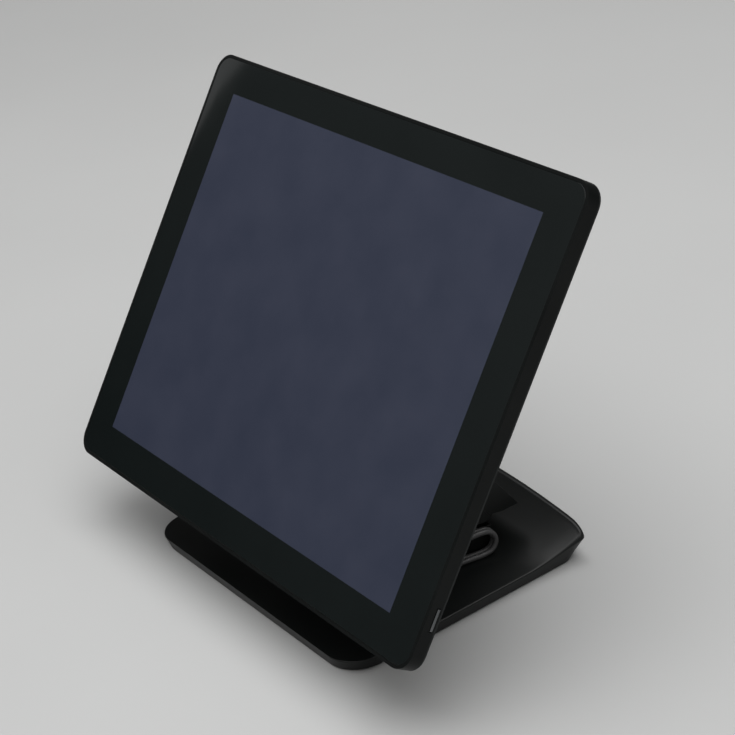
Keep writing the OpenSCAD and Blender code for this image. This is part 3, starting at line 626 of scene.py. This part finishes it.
# ---------------------------------------------------------------- front frame and rear cover
# The frame is a satin black moulding with a ledge for the glass; the rear cover
# has a thin skirt, the electronics housing, its vents and a door.
frame_plastic, tree, shader, place = blank_finish("frame_plastic")
tree.links.new(two_tone(tree, grain_of(tree, place, 0.05), (0.0038, 0.0046, 0.0045), (0.0058, 0.0068, 0.0066)),
               shader.inputs["Base Color"])
tree.links.new(between(tree, grain_of(tree, place, 0.02), 0.34, 0.44), shader.inputs["Roughness"])
relief(tree, shader, grain_of(tree, place, 0.0005, 3), 0.00002, 0.6)
shader.inputs["Specular IOR Level"].default_value = 0.1
spark_plastic, tree, shader, place = blank_finish("spark_plastic")
tree.links.new(two_tone(tree, grain_of(tree, place, 0.05), (0.014, 0.016, 0.016), (0.020, 0.022, 0.022)),
               shader.inputs["Base Color"])
tree.links.new(between(tree, grain_of(tree, place, 0.01), 0.5, 0.62), shader.inputs["Roughness"])
relief(tree, shader, grain_of(tree, place, 0.0009, 4), 0.00007)
shader.inputs["Specular IOR Level"].default_value = 0.15
give(frame_plastic, soft_edges(nodes["front_frame"], 0.0005, 30, 3, True))
for name in ("rear_cover", "service_door"):
    give(spark_plastic, soft_edges(nodes[name], 0.0004, 30, 3, True))


# ---------------------------------------------------------------- display stack
# Behind the glass: foam tape, the display cell, a clear sheet printed with dots
# that spreads the backlight, and the pressed tray and chassis that carry them.
foam, tree, shader, place = blank_finish("foam_tape")
pores = tree.nodes.new("ShaderNodeTexVoronoi")
pores.inputs["Scale"].default_value = 1400
tree.links.new(place, pores.inputs["Vector"])
tree.links.new(two_tone(tree, pores.outputs["Distance"], (0.005, 0.005, 0.005), (0.016, 0.016, 0.016)),
               shader.inputs["Base Color"])
tree.links.new(between(tree, grain_of(tree, place, 0.002), 0.85, 0.95), shader.inputs["Roughness"])
relief(tree, shader, pores.outputs["Distance"], 0.0001)
cell, tree, shader, place = blank_finish("display_cell")
tree.links.new(two_tone(tree, grain_of(tree, place, 0.05), (0.03, 0.036, 0.05), (0.05, 0.06, 0.08)),
               shader.inputs["Base Color"])
tree.links.new(between(tree, grain_of(tree, place, 0.02), 0.12, 0.2), shader.inputs["Roughness"])
spreader, tree, shader, place = blank_finish("dotted_acrylic")
dots = tree.nodes.new("ShaderNodeTexVoronoi")
dots.inputs["Scale"].default_value = 700
tree.links.new(place, dots.inputs["Vector"])
tree.links.new(two_tone(tree, dots.outputs["Distance"], (0.86, 0.88, 0.9), (0.7, 0.73, 0.76), 0.2, 0.4),
               shader.inputs["Base Color"])
tree.links.new(between(tree, grain_of(tree, place, 0.02), 0.08, 0.16), shader.inputs["Roughness"])
for name, stuff in (("glass_tape", foam), ("lcd_cell", cell), ("light_guide", spreader), ("lcd_tray", zinc),
                    ("chassis_plate", zinc)):
    give(stuff, soft_edges(nodes[name], 0.0001, 40, 2, True))


# ---------------------------------------------------------------- electronics
# Green boards on brass-height posts, a finned aluminium cooler, a plug-in memory
# board, a flat drive and two small speakers that fire down through the cover.
fins = plated_steel("extruded_aluminium", (0.6, 0.61, 0.63), (0.7, 0.71, 0.73), 0.3, (1, 8, 1))
drive_case = plated_steel("drive_case", (0.26, 0.27, 0.29), (0.34, 0.35, 0.37), 0.38, (1, 6, 1))
for name in ("mainboard", "memory_module", "power_board", "key_switch"):
    give(solder_mask, soft_edges(nodes[name], 0.0001, 40, 2, True))
give(fins, soft_edges(nodes["heatsink"], 0.00012, 40, 2, True))
give(drive_case, soft_edges(nodes["storage_drive"], 0.0004, 40, 3, True))
give(black_abs_small, soft_edges(nodes["speakers"], 0.0004, 40, 2, True))


# ---------------------------------------------------------------- power key
# Slim round-edged aluminium key in a slot in the head's right edge, lightly
# brushed along its length.
key_metal, tree, shader, place = blank_finish("brushed_key")
shader.inputs["Metallic"].default_value = 1
along_edge = (math.pi / 2 - TILT, 0, 0)
tree.links.new(two_tone(tree, grain_of(tree, place, 0.004, 3, (1, 10, 1), along_edge), (0.10, 0.105, 0.11),
                        (0.16, 0.165, 0.17)), shader.inputs["Base Color"])
tree.links.new(between(tree, grain_of(tree, place, 0.0005, 3, (1, 14, 1), along_edge), 0.24, 0.38),
               shader.inputs["Roughness"])
relief(tree, shader, grain_of(tree, place, 0.0004, 3, (1, 16, 1), along_edge), 0.00001)
give(key_metal, soft_edges(nodes["power_key"], 0.00035, 40, 3, True))


# ---------------------------------------------------------------- studio
# Pale seamless floor in a room that is bright above and in front and dark at the
# left. A large card hangs overhead; a dim one shows in the glass's upper left corner.
def card_light(name, size, power, place, aim):
    data = bpy.data.lights.new(name, "AREA")
    data.shape = "RECTANGLE"
    data.size, data.size_y = size
    data.energy = power
    lamp = bpy.data.objects.new(name, data)
    lamp.location = place
    lamp.rotation_euler = (Vector(aim) - Vector(place)).to_track_quat("-Z", "Y").to_euler()
    bpy.context.scene.collection.objects.link(lamp)
    return lamp


bm = bmesh.new()
bmesh.ops.create_grid(bm, x_segments=2, y_segments=2, size=6)
floor = made("floor", bm)
pale, tree, shader, place = blank_finish("pale_floor")
tree.links.new(two_tone(tree, grain_of(tree, place, 0.4), (0.465, 0.468, 0.466), (0.48, 0.483, 0.481)),
               shader.inputs["Base Color"])
shader.inputs["Roughness"].default_value = 0.6
give(pale, floor)
sky = bpy.data.worlds.new("soft_room")
bpy.context.scene.world = sky
sky.use_nodes = True
room = sky.node_tree
backing = room.nodes["Background"]
backing.inputs["Color"].default_value = (1, 0.995, 0.985, 1)
ray = room.nodes.new("ShaderNodeTexCoord")
toward = room.nodes.new("ShaderNodeVectorMath")
toward.operation = "DOT_PRODUCT"
toward.inputs[1].default_value = (0.3, -0.25, 0.92)
room.links.new(ray.outputs["Generated"], toward.inputs[0])
room.links.new(between(room, toward.outputs["Value"], 0.015, 0.58, 0.06, 0.85), backing.inputs["Strength"])
card_light("top_card", (2.5, 2.5), 50, (0.1, 0.05, 2.0), (0, 0, 0.1))
FACE_WAY = Vector((0, -math.cos(TILT), math.sin(TILT)))


def picked_up(u, v, reach=2.0):
    """Where the room stands that the glass shows the lens at this place."""
    place = on_head(u, v, 0)
    sight = (place - shot.location).normalized()
    return place + reach * (sight - 2 * sight.dot(FACE_WAY) * FACE_WAY)


edge_low, edge_high, tip = picked_up(-178, 98), picked_up(-154, 136), picked_up(-178, 136)
middle = (edge_low + edge_high) / 2
along = (edge_high - edge_low).normalized()
behind = middle - on_head(-166, 117, 0)
behind = (behind - behind.dot(along) * along).normalized()
upward = behind.cross(along)
if upward.dot(tip - middle) < 0:
    along, upward = -along, -upward
corner_size = (1.2, 0.7)
corner_card = card_light("corner_card", corner_size, 1.6, middle, (0, 0, 0.2))
corner_card.matrix_world = Matrix((along, upward, behind)).transposed().to_4x4()
corner_card.location = middle + corner_size[1] / 2 * upward
bpy.context.scene.view_settings.view_transform = "Standard"
